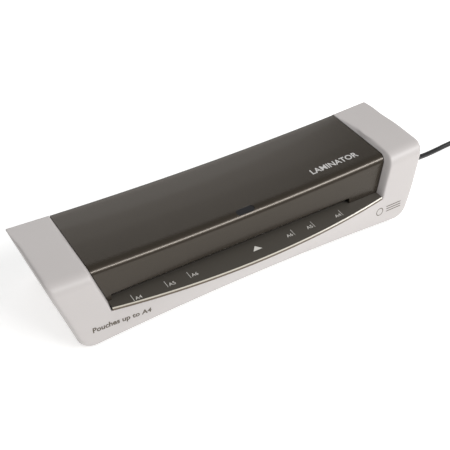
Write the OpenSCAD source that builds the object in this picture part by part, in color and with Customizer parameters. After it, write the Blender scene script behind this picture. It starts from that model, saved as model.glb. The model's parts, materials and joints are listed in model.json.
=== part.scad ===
// Desktop pouch laminator: a pair of silicone rollers behind two heated shoes, in a pale frame casing.
// +X runs along the machine, -Y is the entry side, +Z is up, and z = 0 is the table.

/* [Casing] */
// Overall width, at the top of the ends
body_w = 375; // [370:1:460]
// Overall depth, from the lip of the shelf to the rear face
body_d = 124; // [121:1:150]
// Height of the crown above the table
body_h = 74.8; // [73:0.2:90]
// Height that the feet lift the casing
foot_h = 4; // [3:0.5:5]
// Lean of the end walls, towards the base
end_lean = 16.2; // [8:0.2:18]
// Wall of the mouldings
wall = 2.4; // [1.8:0.1:2.8]
// Fall of the top at mid-length
sag = 5.5; // [2:0.5:7]
// Rise of the front lip's lower edge at mid-length
arch = 5.5; // [2:0.5:7]
// Gap between mouldings
gap = 0.3; // [0.2:0.1:0.6]

/* [Entry] */
// Width of the dark panel across its top
panel_w = 296; // [290:1:330]
// Height of the shelf at the slot
shelf_z = 35.5; // [34:0.5:37]
// Length of the entry slot
slot_w = 240; // [225:1:244]
// Height of the entry slot
slot_h = 5; // [4.5:0.5:6]
// Place of the slot's middle along the machine
slot_x = -14; // [-16:1:-8]
// Forward bow of the shelf's edge
lip_bow = 12.8; // [6:0.2:16]
// Length of the indicator window
window_l = 18; // [12:1:24]
// Width of the indicator window
window_w = 6.4; // [5:0.2:8]

/* [Rollers and gears] */
// Outside diameter of the silicone sleeves
roller_d = 18.7; // [17:0.1:18.8]
// Diameter of the roller cores
core_d = 12; // [10:0.5:13]
// Diameter of the roller journals
journal_d = 8; // [6:0.5:9]
// Distance between the roller centres
roller_pitch = 19; // [19:1:20]
// Teeth on each roller gear
roller_teeth = 19; // [19:1:20]
// Teeth on the idler gear
idler_teeth = 17; // [16:1:19]
// Teeth on the drive pinion
pinion_teeth = 15; // [14:1:17]
// Width of the gears' faces
gear_w = 7; // [5:0.5:7]
// Radial clearance of the running fits
run_fit = 0.05; // [0.03:0.01:0.08]
// Lift of the upper roller at full release
lift = 1.2; // [0.8:0.1:1.4]
// Turn of the release lever
release_turn = 36; // [30:1:40]

/* [Heating and drive] */
// Depth of the hot shoes along the feed
shoe_d = 29; // [24:1:30]
// Gap between the hot shoes
shoe_gap = 3; // [2:0.5:4]
// Thickness of the steel plates
plate_t = 1.6; // [1.2:0.1:2]
// Diameter of the gear motor
motor_d = 49; // [42:1:50]
// Length of the gear motor
motor_l = 21; // [18:0.5:22]

/* [Cord] */
// Diameter of the power cord
cord_d = 5; // [4:0.5:6]
// Diameter of the coil, at the middle of its turns
coil_d = 55; // [50:1:60]

/* [Hidden] */

big = 400;
fine = 96;
lean = tan(end_lean);
front_y = -body_d / 2;
rear_y = body_d / 2;
base_z = foot_h;
floor_t = 2.5;
floor_z = base_z + floor_t;

// the top sags along a large arc across the ends
sag_r = (pow(body_w / 2, 2) + sag * sag) / (2 * sag);
sag_axis = body_h - sag + sag_r;
sag_swing = asin(body_w / 2 / sag_r) + 0.4;
arch_r = (pow(body_w / 2 - 28, 2) + arch * arch) / (2 * arch);

// side view of the casing, as [y, z] at its ends, and the rounding of each corner
face_y = front_y + 10.7;
slope_rear = 0.318;
side_pts = [[face_y, base_z - 12], [front_y + 13.2, 30], [front_y + 16, 50], [front_y + 19.7, body_h - 0.8],
    [0, body_h], [rear_y - 15.2, body_h - 3.6], [rear_y + 0.1, 24], [rear_y - 1.5, base_z - 12]];
side_round = [0, 100, 100, 13, 250, 6, 30, 0];
end_r = 12;
panel_top = body_h - 3.7;
panel_pts = [[front_y + 20.4, 28], [front_y + 27.7, panel_top], [rear_y - 15.4, panel_top + 0.1],
    [rear_y - 12.9, panel_top - 8]];
ridge_r = 8;
panel_round = [0, ridge_r, 6, 0];
panel_foot_w = panel_w - 2 * (panel_top - shelf_z) * lean;
shelf_t = 3;
lip_z = shelf_z - shelf_t;
lip_half = panel_foot_w / 2;
lip_step = 0.9;
lip_r = (lip_half * lip_half + lip_bow * lip_bow) / (2 * lip_bow);
lip_y = front_y + lip_r;
flange_d = 9.5;

// the indicator window sits where the ridge starts to turn down
window_y = front_y + 32.4;
window_tilt = asin((front_y + 34.4 - window_y) / ridge_r);
window_z = panel_top - sag - ridge_r * (1 - cos(window_tilt));

// pouch path
pass_z = shelf_z + 2;
slot_l = slot_x - slot_w / 2;
slot_r = slot_x + slot_w / 2;
slot_top = shelf_z + slot_h;
roller_y = 12;
roller_r = roller_d / 2;
low_z = pass_z - roller_pitch / 2;
high_z = pass_z + roller_pitch / 2;
journal_r = journal_d / 2;
left_x = slot_l - 4;
right_x = slot_r + 4;
plate_in = 34;
plate_low = 8;
plate_high = 61;
shoe_y0 = -29;
shoe_y1 = shoe_y0 + shoe_d;
shoe_h = 12;

// gears: module 1, teeth thinned for backlash
gear_m = roller_pitch / roller_teeth;
press_angle = 20;
tooth_tip = 0.85;
tooth_root = 1.2;
backlash = 0.14;
gear_x = right_x + 9;
roller_gear_r = gear_m * roller_teeth / 2;
idler_r = gear_m * idler_teeth / 2;
pinion_r = gear_m * pinion_teeth / 2;
motor_y = -9;
motor_z = 36.5;
low_at = [roller_y, low_z];
high_at = [roller_y, high_z];
motor_at = [motor_y, motor_z];
span = norm(motor_at - low_at);
reach_a = roller_gear_r + idler_r;
reach_b = pinion_r + idler_r;
along = (reach_a * reach_a - reach_b * reach_b + span * span) / (2 * span);
aside = sqrt(reach_a * reach_a - along * along);
way = (motor_at - low_at) / span;
idler_at = low_at + along * way + aside * [-way[1], way[0]];
bracket_x = gear_x + gear_w + 2;
motor_x = bracket_x + plate_t;

// upper roller's blocks, and the release shaft with its cams
block_w = 12;
block_h = 12;
seat_z = high_z + block_h / 2 + 1.6;
spring_r = 2.6;
spring_wire = 0.4;
spring_out = plate_t / 2 + spring_r + spring_wire + gap;
release_y = 30;
release_z = 50;
release_r = 3;
cam_r = 5;
cam_lag = release_turn / 2;
cam_throw = lift / (2 * sin(cam_lag));
ear_z = release_z + cam_r - cam_throw * sin(cam_lag) + gap;
cam_w = 3;
lever_x = -body_w / 2 + 21.5;
lever_t = 4;
lever_l = 32;
lever_rest = -12;

// rear face, as a line of y against z
function rear_at(z) = rear_y + 0.1 - (z - 24) * slope_rear;
function end_at(z) = body_w / 2 - (body_h - z) * lean;
function open_at(z) = panel_w / 2 - (panel_top - z) * lean;
base_half = end_at(base_z) - end_r / tan(45 + end_lean / 2) - 1;

switch_x = body_w / 2 - 23.5;
switch_z = 44;
rear_tilt = atan(slope_rear);
rocker_turn = 14;
board_x = left_x - plate_t - 8.8;
board_t = 1.6;
exit_y = 5;
exit_z = 13;
cord_r = cord_d / 2;
relief_l = 28;
relief_x = end_at(exit_z + 6.2);

// points of the free cord, chosen by hand
cord_route = [[relief_x + relief_l, exit_y, exit_z], [relief_x + relief_l + 8, exit_y, exit_z],
    [215, 5.4, 12.4], [225, 6.6, 10.8], [236, 8.6, 8.4], [247, 11, 5.8], [258, 13.4, 3.8],
    [269, 15.2, 2.7], [280, 16.3, cord_r], [295, 16.9, cord_r], [313, 17, cord_r]];
coil_at = [335, 17 - coil_d / 2];
coil_w = 15;
coil_z = 1;
coil_h = 14;
tail_x = coil_at[0] + coil_d / 2;
tail_route = [[tail_x, -32, cord_r], [tail_x + 0.3, -37, 2.8],
    [tail_x + 1.2, -46, 4], [tail_x + 1.4, -56, 5.8], [tail_x + 1.5, -64, 6.8]];
plug_at = [tail_x + 1.5, -64, 6.8];

function unit(v) = v / norm(v);

// one rounded corner q between p and s, as points on its arc
function corner(p, q, s, r, n) = r == 0 ? [q] :
    let (a = unit(p - q), b = unit(s - q), half = acos(a * b) / 2,
        c = q + unit(a + b) * r / sin(half), u = q + a * r / tan(half) - c,
        first = atan2(u[1], u[0]), sweep = -sign(a[0] * b[1] - a[1] * b[0]) * (180 - 2 * half))
    [for (i = [0:n]) let (t = first + sweep * i / n) c + r * [cos(t), sin(t)]];

// an outline with each corner rounded by its own radius
function rounded(pts, round, n = 6) = [for (i = [0:len(pts) - 1])
    each corner(pts[(i + len(pts) - 1) % len(pts)], pts[i], pts[(i + 1) % len(pts)], round[i], n)];

function inv(a) = tan(a) * 180 / PI - a;

// outline of an involute gear with one tooth on +X
function gear_pts(teeth) = let (rp = gear_m * teeth / 2, rb = rp * cos(press_angle),
        ra = rp + tooth_tip * gear_m, rf = rp - tooth_root * gear_m,
        wide = 90 / teeth - backlash / 2 / rp * 180 / PI + inv(press_angle),
        radii = [for (i = [0:4]) max(rb, rf + 0.01) + (ra - max(rb, rf + 0.01)) * i / 4],
        edge = [for (r = radii) [r, wide - inv(acos(min(1, rb / r)))]],
        flank = concat([[rf, wide]], edge))
    [for (k = [0:teeth - 1]) each concat(
        [for (p = flank) p[0] * [cos(k * 360 / teeth - p[1]), sin(k * 360 / teeth - p[1])]],
        [for (i = [len(flank) - 1:-1:0]) let (p = flank[i])
            p[0] * [cos(k * 360 / teeth + p[1]), sin(k * 360 / teeth + p[1])]])];

// turn that puts gear b in mesh with gear a, where a is turned by turn_a
function mesh_turn(at_a, teeth_a, turn_a, at_b, teeth_b) =
    let (d = at_b - at_a, dir = atan2(d[1], d[0]))
    dir + 180 + 180 / teeth_b - (turn_a - dir) * teeth_a / teeth_b;

// tube swept along points, closed at both ends
function sweep_frame(pts, i) = let (n = len(pts),
        t = unit(pts[min(i + 1, n - 1)] - pts[max(i - 1, 0)]),
        s = unit(cross(t, abs(t[2]) > 0.9 ? [1, 0, 0] : [0, 0, 1])))
    [s, cross(s, t)];

module tube(pts, r, sides = 10) {
    rings = [for (i = [0:len(pts) - 1]) let (f = sweep_frame(pts, i))
        for (k = [0:sides - 1]) let (a = k * 360 / sides) pts[i] + r * (cos(a) * f[0] + sin(a) * f[1])];
    skin = [for (i = [0:len(pts) - 2]) for (k = [0:sides - 1]) let (m = (k + 1) % sides)
        [i * sides + k, i * sides + m, (i + 1) * sides + m, (i + 1) * sides + k]];
    low = [[for (k = [sides - 1:-1:0]) k]];
    high = [[for (k = [0:sides - 1]) (len(pts) - 1) * sides + k]];
    polyhedron(rings, concat(skin, low, high));
}

// [y, z] outline pushed along X
module along_x(x0, x1) {
    translate([x0, 0, 0]) rotate([90, 0, 90]) linear_extrude(x1 - x0) children();
}

// [x, z] outline pushed along Y
module along_y(y0, y1) {
    translate([0, y1, 0]) rotate([90, 0, 0]) linear_extrude(y1 - y0) children();
}

// [y, z] outline swept along the sagging arc of the top
module along_sag(pts) {
    translate([0, 0, sag_axis]) rotate([-90, 90, 0]) rotate([0, 0, -sag_swing])
        rotate_extrude(angle = 2 * sag_swing, $fn = 1440)
            polygon([for (p = pts) [sag_axis - p[1] + sag, p[0]]]);
}

// rod along X, centred on [y, z]
module rod(x0, x1, at, r, facets = fine) {
    translate([x0, at[0], at[1]]) rotate([0, 90, 0]) cylinder(r = r, h = x1 - x0, $fn = facets);
}

module box(x0, x1, y0, y1, z0, z1) {
    translate([x0, y0, z0]) cube([x1 - x0, y1 - y0, z1 - z0]);
}

// front view of the ends, shrunk by t, from z0 to z1
module end_outline(t, z0, z1, r = 0) {
    s = t / cos(end_lean);
    polygon(rounded([[end_at(z0) - s, z0], [end_at(z1) - s, z1], [s - end_at(z1), z1], [s - end_at(z0), z0]],
        [r, 0, 0, r]));
}

// front view of the panel's opening, grown by t
module open_outline(t, z0, z1) {
    polygon([[open_at(z0) + t, z0], [open_at(z1) + t, z1], [-open_at(z1) - t, z1], [-open_at(z0) - t, z0]]);
}

// side view of the casing, shrunk by t on the faces that show
function side_inset(t) = [for (i = [0:len(side_pts) - 1]) let (p = side_pts[i])
    i < 4 ? [p[0] + t, i == 3 ? p[1] - t : p[1]] : i == 4 ? [p[0], p[1] - t] :
    i == 5 ? [p[0] - t, p[1] - t] : [p[0] - t, p[1]]];
function round_inset(t) = [for (i = [0:len(side_round) - 1])
    i == 3 ? max(2, side_round[3] - t) : i == 5 ? max(1, side_round[5] - t) : side_round[i]];

// casing's solid, shrunk by t, with the chin under the shelf
module casing_solid(t) {
    intersection() {
        along_sag(rounded(side_inset(t), round_inset(t)));
        along_y(-big, big) end_outline(t, base_z + t, body_h + 4, end_r - t);
    }
}

module chin(t) {
    intersection() {
        translate([0, lip_y, 0]) rotate_extrude($fn = 1080) polygon([
            [lip_r - t - lip_step, lip_z], [lip_r - 11.6 - t, base_z - 1], [lip_r - 26, base_z - 1],
            [lip_r - 26, lip_z]]);
        along_y(-big, 0) open_outline(-t, base_z - 6, lip_z);
    }
}

pillar_at = [for (p = [[-1, rear_y - 16], [1, rear_y - 16], [-1, front_y + 20.5], [1, front_y + 20.5]])
    [p[0] * (base_half - 7), p[1]]];
pillar_r = 3.6;
lip_boss_at = [[-70, front_y + 21], [70, front_y + 21]];

module upper_casing() color("gainsboro") {
    difference() {
        union() {
            difference() {
                union() {
                    casing_solid(0);
                    chin(0);
                }
                difference() {
                    union() {
                        casing_solid(wall);
                        chin(wall);
                        box(-base_half - gap, base_half + gap, front_y + 13, rear_y - 3, base_z - 10, base_z + 6);
                    }
                    // walls down both sides of the panel's opening
                    intersection() {
                        difference() {
                            along_sag(rounded(side_pts, side_round));
                            along_sag(rounded(side_inset(flange_d), round_inset(flange_d)));
                        }
                        along_y(-big, big) open_outline(wall, lip_z - 3, body_h + 4);
                    }
                }
            }
            // screw pillars under the roof, and bosses behind the lip
            intersection() {
                casing_solid(wall / 2);
                union() {
                    for (p = pillar_at) translate([p[0], p[1], floor_z + 6])
                        cylinder(r = pillar_r, h = body_h, $fn = fine);
                }
            }
            for (p = lip_boss_at) {
                translate([p[0], p[1], floor_z + 6]) cylinder(r = 3.5, h = 16, $fn = fine);
                box(p[0] - 1.2, p[0] + 1.2, p[1] - 8.7, p[1] - 2, floor_z + 6, floor_z + 22);
            }
        }
        // opening for the panel, the shelf and the rear cover
        along_y(-big, big) open_outline(0, lip_z, body_h + 10);
        along_y(0, big) open_outline(0, -1, lip_z + 1);
        // level underside, arched along the front
        box(-big, big, -big, big, -20, base_z);
        translate([0, 0, base_z + arch - arch_r]) rotate([90, 0, 0])
            cylinder(r = arch_r, h = big, center = true, $fn = 1440);
        for (p = pillar_at) translate([p[0], p[1], floor_z]) cylinder(r = 1.3, h = 16, $fn = 32);
        for (p = lip_boss_at) translate([p[0], p[1], floor_z]) cylinder(r = 1.3, h = 14, $fn = 32);
        // slots for the release lever, the switch and the cord
        box(lever_x - lever_t / 2 - 0.8, lever_x + lever_t / 2 + 0.8, rear_y - 24, big, 38.5, 65);
        switch_hole(0);
        rod(relief_x - 12, relief_x + 12, [exit_y, exit_z], cord_r + 2);
    }
}

module switch_hole(grow) {
    translate([switch_x, rear_at(switch_z), switch_z]) rotate([rear_tilt, 0, 0])
        translate([-9 - grow, -12, -6.3 - grow]) cube([18 + 2 * grow, 24, 12.6 + 2 * grow]);
}

module top_panel() color([0.33, 0.31, 0.30]) {
    t = wall - 0.2;
    inner = [[front_y + 20.4 + t, 28], [front_y + 27.7 + t, panel_top - t],
        [rear_y - 15.4 - t, panel_top + 0.1 - t], [rear_y - 12.9 - t, panel_top - 8]];
    back = rounded(inner, [0, 6, 4, 0]);
    difference() {
        intersection() {
            along_sag(concat(rounded(panel_pts, panel_round), [for (i = [len(back) - 1:-1:0]) back[i]]));
            along_y(-big, big) open_outline(-gap, shelf_z + gap, body_h);
        }
        box(slot_l, slot_r, -big, 0, 0, slot_top);
        window_solid(gap / 2, -12, 5);
    }
}

// places its children on the ridge at mid-length, square to the surface
module on_ridge() {
    translate([0, window_y, window_z]) rotate([window_tilt, 0, 0]) children();
}

// the window's stadium, from z0 to z1 along the surface's normal
module window_solid(grow, z0, z1) {
    on_ridge() translate([0, 0, z0]) linear_extrude(z1 - z0) {
        square([window_l - window_w, window_w + 2 * grow], center = true);
        for (s = [-1, 1]) translate([s * (window_l - window_w) / 2, 0])
            circle(r = window_w / 2 + grow, $fn = fine);
    }
}

module indicator_window() color([0.08, 0.08, 0.09]) window_solid(0, -2.6, -0.7);

module light_guide() color("white") {
    for (s = [-1, 1]) on_ridge() translate([s * 4, 0, -6.6]) cylinder(r = 1.6, h = 4, $fn = fine);
}

module indicator_board() color("seagreen") {
    on_ridge() {
        difference() {
            translate([-13, -4, -10.2]) cube([26, 12, 1.6]);
            for (s = [-1, 1]) translate([s * 10.5, 5.5, -12]) cylinder(r = 1.1, h = 6, $fn = 32);
        }
        for (s = [-1, 1]) translate([s * 4, 0, -8.6]) cylinder(r = 1.5, h = 2, $fn = 32);
    }
}

module entry_shelf() color([0.24, 0.22, 0.21]) {
    r = lip_r;
    difference() {
        intersection() {
            translate([0, lip_y, 0]) rotate_extrude($fn = 1080) polygon([[lip_r - 30, lip_z],
                [r, lip_z], [r, shelf_z - 1.1], [r - 1, shelf_z], [lip_r - 30, shelf_z]]);
            along_y(-big, -32) open_outline(-gap, lip_z - 1, shelf_z + 1);
            box(-big, big, -big, shoe_y0 - 7, 0, big);
        }
        for (x = [left_x, right_x]) box(x - 3, x + 3, -38, 0, 0, 60);
    }
    box(slot_l + gap, slot_r - gap, shoe_y0 - 7.2, shoe_y0 - gap, lip_z, shelf_z);
}

module rear_cover() color([0.26, 0.24, 0.23]) {
    t = wall - 0.2;
    top_z = panel_top - 8 - gap;
    band = [[rear_at(top_z), top_z], [rear_y + 0.1, 24], [rear_y - 1.2, base_z - 6],
        [rear_y - 1.2 - t, base_z - 6], [rear_y + 0.1 - t, 24], [rear_at(top_z) - t, top_z]];
    difference() {
        intersection() {
            along_sag(rounded(band, [0, 30, 0, 0, 28, 0]));
            along_y(0, big) open_outline(-gap, base_z + 1, body_h);
        }
        box(slot_l, slot_r, 0, big, shelf_z - 1, slot_top + 0.5);
        for (i = [-16:16]) for (k = [0, 1])
            box(i * 7.4 - 1.3, i * 7.4 + 1.3, 0, big, 10 + 11 * k, 18 + 11 * k);
    }
}

foot_at = [[-140, front_y + 30], [140, front_y + 30], [-140, rear_y - 20], [140, rear_y - 20]];
module base_outline(t) {
    polygon(rounded([[base_half - t, front_y + 17.5 + t], [base_half - t, rear_y - 4.6 - t],
        [t - base_half, rear_y - 4.6 - t], [t - base_half, front_y + 17.5 + t]], [9, 9, 9, 9]));
}

module base_casing() color([0.72, 0.71, 0.70]) {
    difference() {
        union() {
            difference() {
                translate([0, 0, base_z]) linear_extrude(8) base_outline(0);
                translate([0, 0, floor_z]) linear_extrude(20) base_outline(2);
            }
            for (p = concat(pillar_at, lip_boss_at)) translate([p[0], p[1], base_z])
                cylinder(r = 4, h = floor_t + 6, $fn = fine);
            for (i = [-3:3]) box(i * 34 - 1, i * 34 + 1, -30, 24, floor_z, floor_z + 1.5);
        }
        for (p = concat(pillar_at, lip_boss_at)) translate([p[0], p[1], 0]) {
            cylinder(r = 1.7, h = 30, $fn = 32);
            cylinder(r = 3.2, h = base_z + 1.6, $fn = 32);
        }
        for (p = foot_at) translate([p[0], p[1], 0]) cylinder(r = 6.2, h = base_z + 1, $fn = fine);
        for (i = [-10:10]) for (y = [-22, 4]) box(i * 9 - 15.3, i * 9 - 12.7, y, y + 16, 0, 20);
        // notch for the strain relief's collar
        box(base_half - 3, base_half + 1, exit_y - 5.6, exit_y + 5.6, exit_z - 5.6, 20);
    }
}

module rubber_feet() color([0.15, 0.15, 0.15]) {
    for (p = foot_at) translate([p[0], p[1], 0]) rotate_extrude($fn = fine)
        polygon([[0, 0], [5.2, 0], [6, 1], [6, base_z + 1], [0, base_z + 1]]);
}

module casing_screws() color("silver") {
    for (p = concat(pillar_at, lip_boss_at)) translate([p[0], p[1], base_z]) difference() {
        union() {
            cylinder(r = 2.8, h = 1.6, $fn = 32);
            cylinder(r = 1.3, h = 14, $fn = 32);
        }
        for (a = [0, 90]) rotate([0, 0, a]) translate([-1.7, -0.35, -1]) cube([3.4, 0.7, 2]);
    }
}

// holes and slots of a side plate, cut right through
module plate_holes(x) {
    rod(x - 5, x + 5, low_at, journal_r + 2);
    rod(x - 5, x + 5, [release_y, release_z], release_r + run_fit);
    box(x - 5, x + 5, roller_y - block_w / 2 - gap, roller_y + block_w / 2 + gap,
        high_z - block_h / 2 - gap, high_z + block_h / 2 + lift + 1);
}

module side_plate(x, out) {
    difference() {
        union() {
            along_x(x, x + plate_t) polygon(rounded([[-plate_in, plate_low], [plate_in, plate_low],
                [plate_in, plate_high - 6], [plate_in - 8, plate_high], [10 - plate_in, plate_high],
                [1 - plate_in, plate_high - 12], [-plate_in, plate_high - 20]], [0, 0, 4, 4, 5, 5, 5]));
            // foot flange on the base's ribs, and the tab that holds the spring
            box(out > 0 ? x : x - 10, out > 0 ? x + 10 + plate_t : x + plate_t, -plate_in, plate_in,
                plate_low, plate_low + plate_t);
            box(out > 0 ? x : x - 7, out > 0 ? x + 7 + plate_t : x + plate_t, roller_y - 4, roller_y + 4,
                plate_high - plate_t, plate_high);
        }
        plate_holes(x + plate_t / 2);
        for (y = [-24, 24]) translate([x + out * 6 + plate_t / 2, y, 0]) cylinder(r = 1.7, h = 14, $fn = 32);
        if (out > 0) rod(x - 5, x + 5, idler_at, 2.5);
    }
    for (y = [-24, 24]) translate([x + out * 6 + plate_t / 2, y, floor_z])
        difference() {
            cylinder(r = 3, h = plate_low - floor_z, $fn = 32);
            translate([0, 0, -1]) cylinder(r = 1.7, h = 6, $fn = 32);
        }
}

module left_side_plate() color("silver") side_plate(left_x - plate_t, -1);
module right_side_plate() color("silver") side_plate(right_x, 1);

module tie_bars() color("silver") {
    for (p = [[-plate_in + 1.5, 22], [plate_in - 6, 22]]) rod(left_x, right_x, p, 3);
}

module lower_bushes() color("ivory") {
    for (s = [-1, 1]) {
        x = s < 0 ? left_x - plate_t : right_x;
        difference() {
            union() {
                rod(x, x + plate_t, low_at, journal_r + 2);
                rod(s < 0 ? left_x : right_x - 1.2, s < 0 ? left_x + 1.2 : right_x, low_at, journal_r + 4);
            }
            rod(x - 5, x + 5, low_at, journal_r + run_fit);
        }
    }
}

// a roller's core with its journals and the two grooves for its clips
module roller_shaft(at, left_end) {
    right_end = gear_x + gear_w + 1.2;
    difference() {
        union() {
            rod(slot_l + 1, slot_r - 1, at, core_d / 2);
            rod(left_end, right_end, at, journal_r);
        }
        for (x = [left_end + 1, gear_x + gear_w]) difference() {
            rod(x, x + 0.8, at, journal_r + 1);
            rod(x - 1, x + 2, at, journal_r - 1);
        }
    }
}

module roller_sleeve(at) {
    difference() {
        rod(slot_l + 3, slot_r - 3, at, roller_r);
        rod(slot_l, slot_r, at, core_d / 2);
    }
}

module roller_gear(at, turn) {
    difference() {
        union() {
            translate([gear_x, at[0], at[1]]) rotate([90, 0, 90]) rotate([0, 0, turn])
                linear_extrude(gear_w) polygon(gear_pts(roller_teeth));
        }
        rod(gear_x - 1, gear_x + gear_w + 1, at, journal_r);
    }
}

// C-shaped clips in a roller's two grooves
module roller_clips(at, left_end) {
    for (x = [left_end + 1, gear_x + gear_w]) difference() {
        rod(x, x + 0.8, at, journal_r + 1.6);
        rod(x - 1, x + 2, at, journal_r - 1);
        box(x - 1, x + 2, at[0] - 1.4, at[0] + 1.4, at[1] - 12, at[1]);
    }
}

low_left_end = left_x - plate_t - 4.2;
high_left_end = left_x - plate_t - 5.6;
module lower_roller_shaft() color("silver") roller_shaft(low_at, low_left_end);
module lower_roller_sleeve() color([0.75, 0.25, 0.18]) roller_sleeve(low_at);
module lower_roller_gear() color("ivory") roller_gear(low_at, 0);
module lower_roller_clips() color("dimgray") roller_clips(low_at, low_left_end);
module upper_roller_shaft() color("silver") roller_shaft(high_at, high_left_end);
module upper_roller_sleeve() color([0.75, 0.25, 0.18]) roller_sleeve(high_at);
high_turn = mesh_turn(low_at, roller_teeth, 0, high_at, roller_teeth);
module upper_roller_gear() color("ivory") roller_gear(high_at, high_turn);
module upper_roller_clips() color("dimgray") roller_clips(high_at, high_left_end);

// sliding block in its window, with flanges on both sides of the plate and an ear over the cam
module bearing_block(x, out) {
    mid = x + plate_t / 2;
    neck = plate_t / 2 + gap;
    y0 = roller_y - block_w / 2;
    y1 = roller_y + block_w / 2;
    z0 = high_z - block_h / 2;
    z1 = high_z + block_h / 2;
    translate([mid, 0, 0]) mirror([out < 0 ? 1 : 0, 0, 0]) difference() {
        union() {
            box(-neck - 1.5, neck + 1.5, y0, y1, z0, z1);
            for (s = [-neck - 2, neck]) box(s, s + 2, y0 - 1.5, y1 + 1.5, z0, z1 - 0.5);
            box(neck, neck + 2, roller_y - 3.4, roller_y + 3.4, z1 - 1, seat_z);
            box(neck, spring_out + 3.2, roller_y - 3.4, roller_y + 3.4, seat_z - 1.4, seat_z);
            box(neck, neck + 2, y1 - 3, y1 + 3.5, z0 + 3, ear_z + 3);
            box(neck, neck + 4, y1 + 0.5, release_y + 4, ear_z, ear_z + 3);
        }
        rod(-9, 9, high_at, journal_r + run_fit);
    }
}

module bearing_blocks() color("ivory") {
    bearing_block(left_x - plate_t, -1);
    bearing_block(right_x, 1);
}

module pressure_springs() color("gray") {
    turns = 5;
    steps = 10 * turns;
    z0 = seat_z + spring_wire;
    z1 = plate_high - plate_t - spring_wire;
    for (x = [left_x - plate_t / 2 - spring_out, right_x + plate_t / 2 + spring_out])
        tube([for (i = [0:steps]) [x + spring_r * cos(i * 36), roller_y + spring_r * sin(i * 36),
            z0 + (z1 - z0) * i / steps]], spring_wire, 6);
}

// hot shoe as a channel that holds its heater, open away from the pouch
module hot_shoe(up) {
    z = up > 0 ? pass_z + shoe_gap / 2 : pass_z - shoe_gap / 2;
    profile = [[shoe_y0, 1.4], [shoe_y0 + 1.6, 0], [shoe_y1 - 0.8, 0], [shoe_y1, 0.8], [shoe_y1, shoe_h],
        [shoe_y1 - 2.5, shoe_h], [shoe_y1 - 2.5, 3.2], [shoe_y0 + 2.5, 3.2], [shoe_y0 + 2.5, shoe_h],
        [shoe_y0, shoe_h]];
    along_x(left_x, right_x) polygon([for (p = profile) [p[0], z + up * p[1]]]);
    for (x = [left_x + 30, right_x - 32]) box(x, x + 2, shoe_y0 + 2, shoe_y1 - 2,
        up > 0 ? z + 7.4 : z - shoe_h, up > 0 ? z + shoe_h : z - 7.4);
}

module lower_hot_shoe() color("lightgray") hot_shoe(-1);
module upper_hot_shoe() color("lightgray") hot_shoe(1);

module heater_elements() color("tan") {
    for (up = [-1, 1]) {
        z = pass_z + up * (shoe_gap / 2 + 3.2);
        box(left_x + 12, right_x - 14, shoe_y0 + 5, shoe_y1 - 5, up > 0 ? z : z - 4, up > 0 ? z + 4 : z);
        for (x = [left_x + 9, right_x - 14]) box(x, x + 3, shoe_y0 + 11, shoe_y0 + 15,
            up > 0 ? z + 1 : z - 3, up > 0 ? z + 3 : z - 1);
    }
}

module thermostat() color("dimgray") {
    z = pass_z + shoe_gap / 2 + 7.2;
    translate([slot_x + 30, shoe_y0 + shoe_d / 2, z]) {
        cylinder(r = 7.5, h = 5, $fn = fine);
        for (s = [-1, 1]) translate([s * 8 - 3, -1.5, 3]) cube([6, 3, 0.8]);
    }
}

module thermal_fuse() color("silver") {
    z = pass_z - shoe_gap / 2 - 3.2 - 4 - 1.9;
    rod(slot_x + 20, slot_x + 31, [shoe_y0 + shoe_d / 2, z], 1.9);
    rod(slot_x + 14, slot_x + 37, [shoe_y0 + shoe_d / 2, z], 0.5, 16);
}

module heat_shield() color("silver") {
    z = pass_z + shoe_gap / 2 + shoe_h + 3;
    box(left_x, right_x, shoe_y0, shoe_y1 + 1, z, z + 0.8);
    box(left_x, right_x, shoe_y0, shoe_y0 + 0.8, z - 3, z);
    box(left_x, right_x, shoe_y1 + 0.2, shoe_y1 + 1, z - 3, z);
}

module upper_entry_guide() color([0.2, 0.2, 0.2]) {
    y0 = front_y + 27;
    along_x(left_x, right_x) polygon([[y0, slot_top + 2.5], [shoe_y0 - gap, pass_z + shoe_gap / 2 + 0.6],
        [shoe_y0 - gap, pass_z + shoe_gap / 2 + 2.8], [y0, slot_top + 4.5]]);
}

module exit_guide() color([0.2, 0.2, 0.2]) {
    y0 = roller_y + 10;
    y1 = rear_at(shelf_z + sag) - wall - gap;
    box(slot_l + gap, slot_r - gap, y0, y1, shelf_z - 3, shelf_z - 1);
    for (i = [-6:6]) box(slot_x + i * 18 - 0.8, slot_x + i * 18 + 0.8, y0 + 9, y1, shelf_z - 10, shelf_z - 3);
    for (x = [left_x, right_x - 2]) box(x, x + 2, y0 + 4, plate_in - 1, shelf_z - 6, shelf_z - 1);
    for (x = [left_x, slot_r - 1]) box(x, x + 5, y0 + 4, plate_in - 1, shelf_z - 3, shelf_z - 1);
}

module upper_exit_guide() color([0.2, 0.2, 0.2]) {
    y0 = roller_y + 12;
    y1 = rear_at(slot_top + 3 + sag) - wall - gap;
    box(left_x, right_x, y0, plate_in, slot_top + 0.8, slot_top + 2.4);
    box(slot_l, slot_r, plate_in - 1, y1, slot_top + 0.8, slot_top + 2.4);
}

screw_at = [motor_at + [-19.7, 19.7], motor_at + [19.7, -19.7]];
spacer_at = [[-30, 13], [-8, 58], [21, 13]];

module gear_motor() color("gray") {
    difference() {
        union() {
            rod(motor_x, motor_x + motor_l, motor_at, motor_d / 2);
            rod(motor_x, motor_x + 0.8, screw_at[0], 4.5);
            rod(motor_x, motor_x + 0.8, screw_at[1], 4.5);
            box(motor_x + 6, motor_x + 15, motor_y - 6, motor_y + 6, motor_z - motor_d / 2 - 3, motor_z - 20);
        }
        rod(motor_x - 1, motor_x + 12, motor_at, 3.5 + run_fit);
        for (p = screw_at) rod(motor_x - 1, motor_x + 2, p, 1.7, 32);
        difference() {
            rod(motor_x + 12, motor_x + 13, motor_at, motor_d);
            rod(motor_x + 11, motor_x + 14, motor_at, motor_d / 2 - 0.6);
        }
    }
}

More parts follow.
